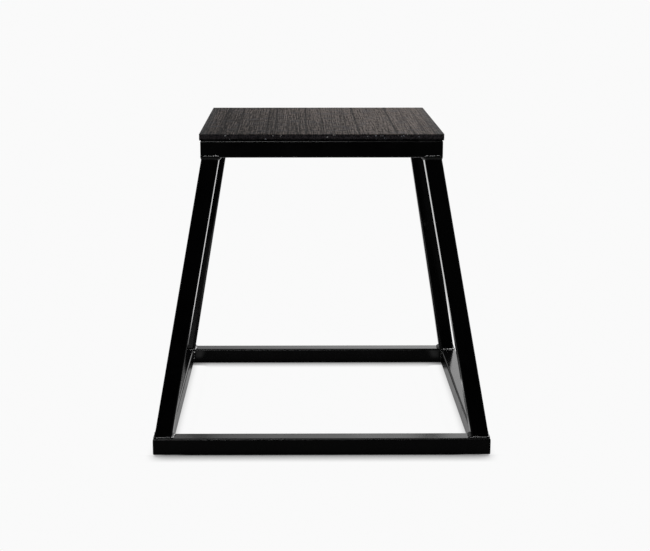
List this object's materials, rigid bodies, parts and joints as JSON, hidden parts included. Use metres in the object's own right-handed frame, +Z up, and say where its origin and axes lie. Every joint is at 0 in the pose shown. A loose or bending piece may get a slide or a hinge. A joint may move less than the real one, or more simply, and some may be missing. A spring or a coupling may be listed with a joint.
{
  "type": "plyo box",
  "caption": "Open plyo box: leaning square-tube legs join a square base frame to a smaller top frame with a sheet-steel deck and a bonded rubber mat to jump onto.",
  "frame": {"origin": "on the floor, in the middle of the base frame", "axes": "+Z up, -Y towards the front, +X to the right as seen from the front"},
  "size_m": [0.488, 0.488, 0.457],
  "materials": {
    "powder_coated_steel": "black powder coat, semi-gloss",
    "mat_rubber": "matt pressed rubber, streaked front to back",
    "contact_adhesive": "dried contact adhesive film"
  },
  "bodies": {
    "root": {"base_front_tube": "powder_coated_steel", "base_right_tube": "powder_coated_steel", "base_rear_tube": "powder_coated_steel", "base_left_tube": "powder_coated_steel", "top_front_rail": "powder_coated_steel", "top_right_rail": "powder_coated_steel", "top_rear_rail": "powder_coated_steel", "top_left_rail": "powder_coated_steel", "leg_front_right": "powder_coated_steel", "leg_rear_right": "powder_coated_steel", "leg_rear_left": "powder_coated_steel", "leg_front_left": "powder_coated_steel", "deck_bearer": "powder_coated_steel", "base_corner_weld_front_right": "powder_coated_steel", "base_corner_weld_rear_right": "powder_coated_steel", "base_corner_weld_rear_left": "powder_coated_steel", "base_corner_weld_front_left": "powder_coated_steel", "top_corner_weld_front_right": "powder_coated_steel", "top_corner_weld_rear_right": "powder_coated_steel", "top_corner_weld_rear_left": "powder_coated_steel", "top_corner_weld_front_left": "powder_coated_steel", "foot_weld_front_right": "powder_coated_steel", "foot_weld_rear_right": "powder_coated_steel", "foot_weld_rear_left": "powder_coated_steel", "foot_weld_front_left": "powder_coated_steel", "head_weld_front_right": "powder_coated_steel", "head_weld_rear_right": "powder_coated_steel", "head_weld_rear_left": "powder_coated_steel", "head_weld_front_left": "powder_coated_steel", "bearer_weld_front": "powder_coated_steel", "bearer_weld_rear": "powder_coated_steel", "deck_stitch_weld_front": "powder_coated_steel", "deck_stitch_weld_right": "powder_coated_steel", "deck_stitch_weld_rear": "powder_coated_steel", "deck_stitch_weld_left": "powder_coated_steel", "deck_plate": "powder_coated_steel", "mat_adhesive": "contact_adhesive", "rubber_mat": "mat_rubber"}
  },
  "joints": []
}
